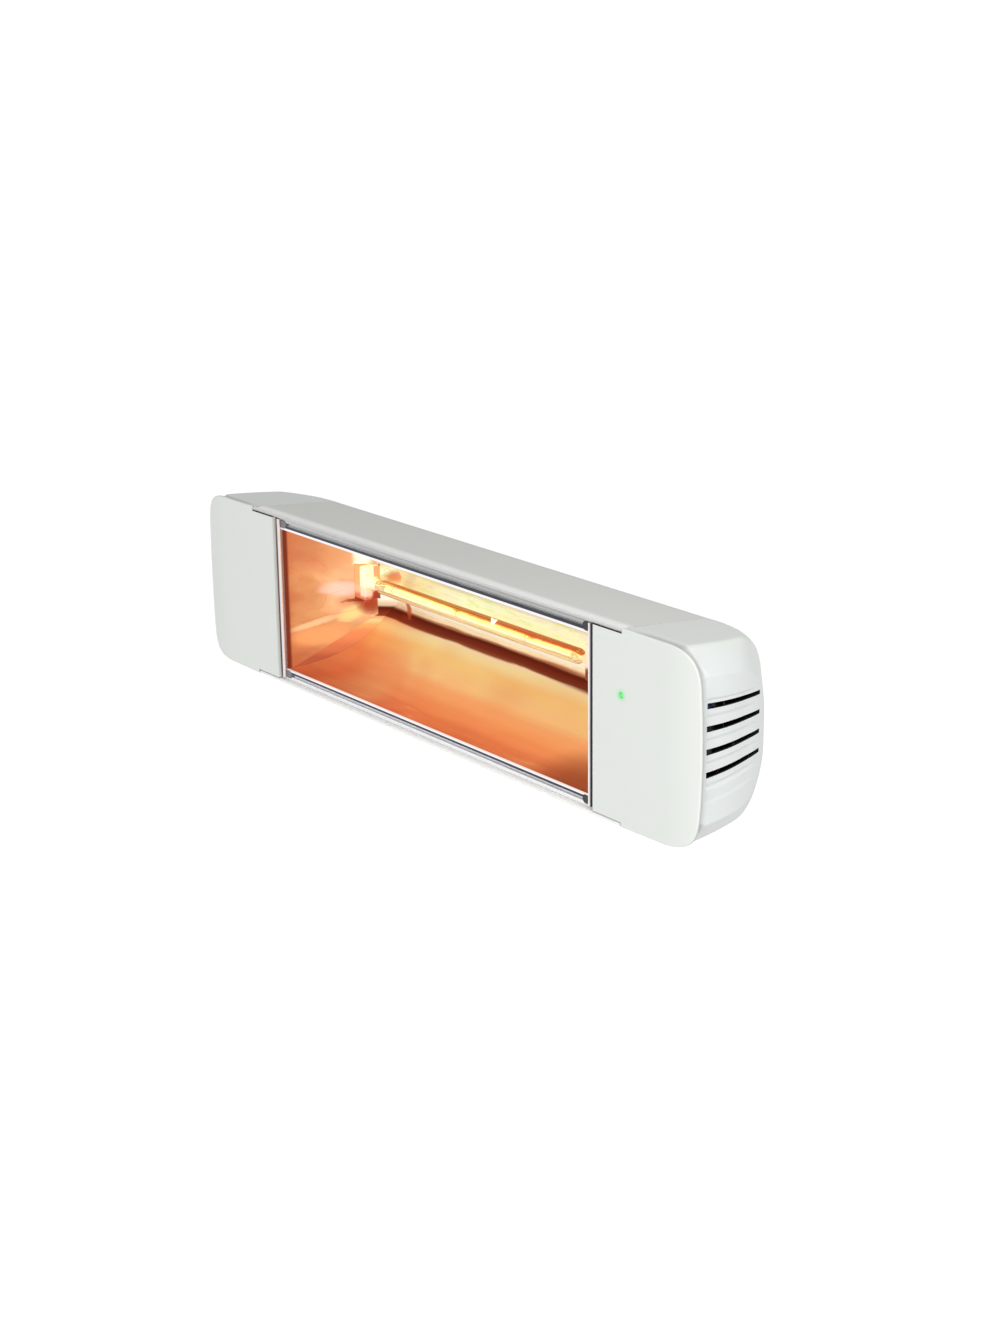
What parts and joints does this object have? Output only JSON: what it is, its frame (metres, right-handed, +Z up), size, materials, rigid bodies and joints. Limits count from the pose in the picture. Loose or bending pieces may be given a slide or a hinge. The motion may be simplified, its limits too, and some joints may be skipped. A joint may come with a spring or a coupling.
{
  "type": "infrared heater",
  "caption": "Wall-hung short-wave infrared heater with moulded louvred end caps, a polished reflector, a quartz lamp and a tilting wall bracket",
  "frame": {"origin": "middle of the wall plate's back face, on the wall", "axes": "+X along the heater to the end with the indicator, +Y into the wall, +Z up"},
  "size_m": [0.5, 0.122, 0.118],
  "materials": {
    "black_plastic": "black moulding, satin",
    "brass": "plain brass",
    "bright_aluminium": "bright anodised extrusion, blue-grey sheen",
    "cable_sheath": "black sheathed cable, matt",
    "cap_plastic": "warm-white moulding, fine satin texture",
    "ceramic": "unglazed cream ceramic",
    "circuit_board": "green solder mask over glass-fibre board",
    "grey_plastic": "dark grey moulding",
    "housing_paint": "pale grey-white powder coat, satin",
    "indicator_green": "green indicator lens, lit",
    "lead_sleeve": "braided glass-fibre sleeve, cream",
    "mirror_aluminium": "polished reflector sheet with a warm copper tint",
    "quartz": "clear quartz glass tube",
    "relay_blue": "blue relay housing",
    "seal_rubber": "pale grey seal, matt",
    "tungsten": "glowing coiled wire, yellow-white",
    "zinc_steel": "zinc-plated sheet and fasteners"
  },
  "bodies": {
    "wall_bracket": {"wall_plate": "zinc_steel", "pivot_bolt": "zinc_steel", "pivot_nut": "zinc_steel", "left_pivot_washer": "black_plastic", "right_pivot_washer": "black_plastic"},
    "heater": {"bottom_rail": "bright_aluminium", "control_board": "circuit_board", "gland_body": "black_plastic", "gland_cap": "black_plastic", "gland_locknut": "black_plastic", "housing": "housing_paint", "inner_board_screw": "brass", "lamp_filament": "tungsten", "lamp_tube": "quartz", "left_bottom_rail_plug": "black_plastic", "left_end_cap": "cap_plastic", "left_end_plate": "zinc_steel", "left_gasket": "seal_rubber", "left_grommet": "seal_rubber", "left_holder_bracket": "zinc_steel", "left_holder_rivet": "zinc_steel", "left_lamp_base": "ceramic", "left_lamp_holder": "ceramic", "left_lamp_lead": "lead_sleeve", "left_lower_cap_screw": "zinc_steel", "left_lower_plate_screw": "zinc_steel", "left_reflector_end": "mirror_aluminium", "left_side_trim": "cap_plastic", "left_top_rail_plug": "black_plastic", "left_upper_cap_screw": "zinc_steel", "left_upper_plate_screw": "zinc_steel", "left_yoke_screw": "zinc_steel", "link_cable": "cable_sheath", "outer_board_screw": "brass", "reflector_trough": "mirror_aluminium", "relay": "relay_blue", "right_bottom_rail_plug": "black_plastic", "right_end_cap": "cap_plastic", "right_end_plate": "zinc_steel", "right_gasket": "seal_rubber", "right_grommet": "seal_rubber", "right_holder_bracket": "zinc_steel", "right_holder_rivet": "zinc_steel", "right_lamp_base": "ceramic", "right_lamp_holder": "ceramic", "right_lamp_lead": "lead_sleeve", "right_lower_cap_screw": "zinc_steel", "right_lower_plate_screw": "zinc_steel", "right_reflector_end": "mirror_aluminium", "right_side_trim": "cap_plastic", "right_top_rail_plug": "black_plastic", "right_upper_cap_screw": "zinc_steel", "right_upper_plate_screw": "zinc_steel", "right_yoke_screw": "zinc_steel", "slide_bar": "zinc_steel", "status_led": "indicator_green", "terminal_block": "ceramic", "top_rail": "bright_aluminium", "transformer": "grey_plastic", "yoke": "zinc_steel"}
  },
  "joints": [
    {"name": "tilt", "type": "hinge", "parent": "wall_bracket", "child": "heater", "pos_m": [0, -0.02, 0], "axis": [1, 0, 0], "range_deg": [0, 45]}
  ]
}
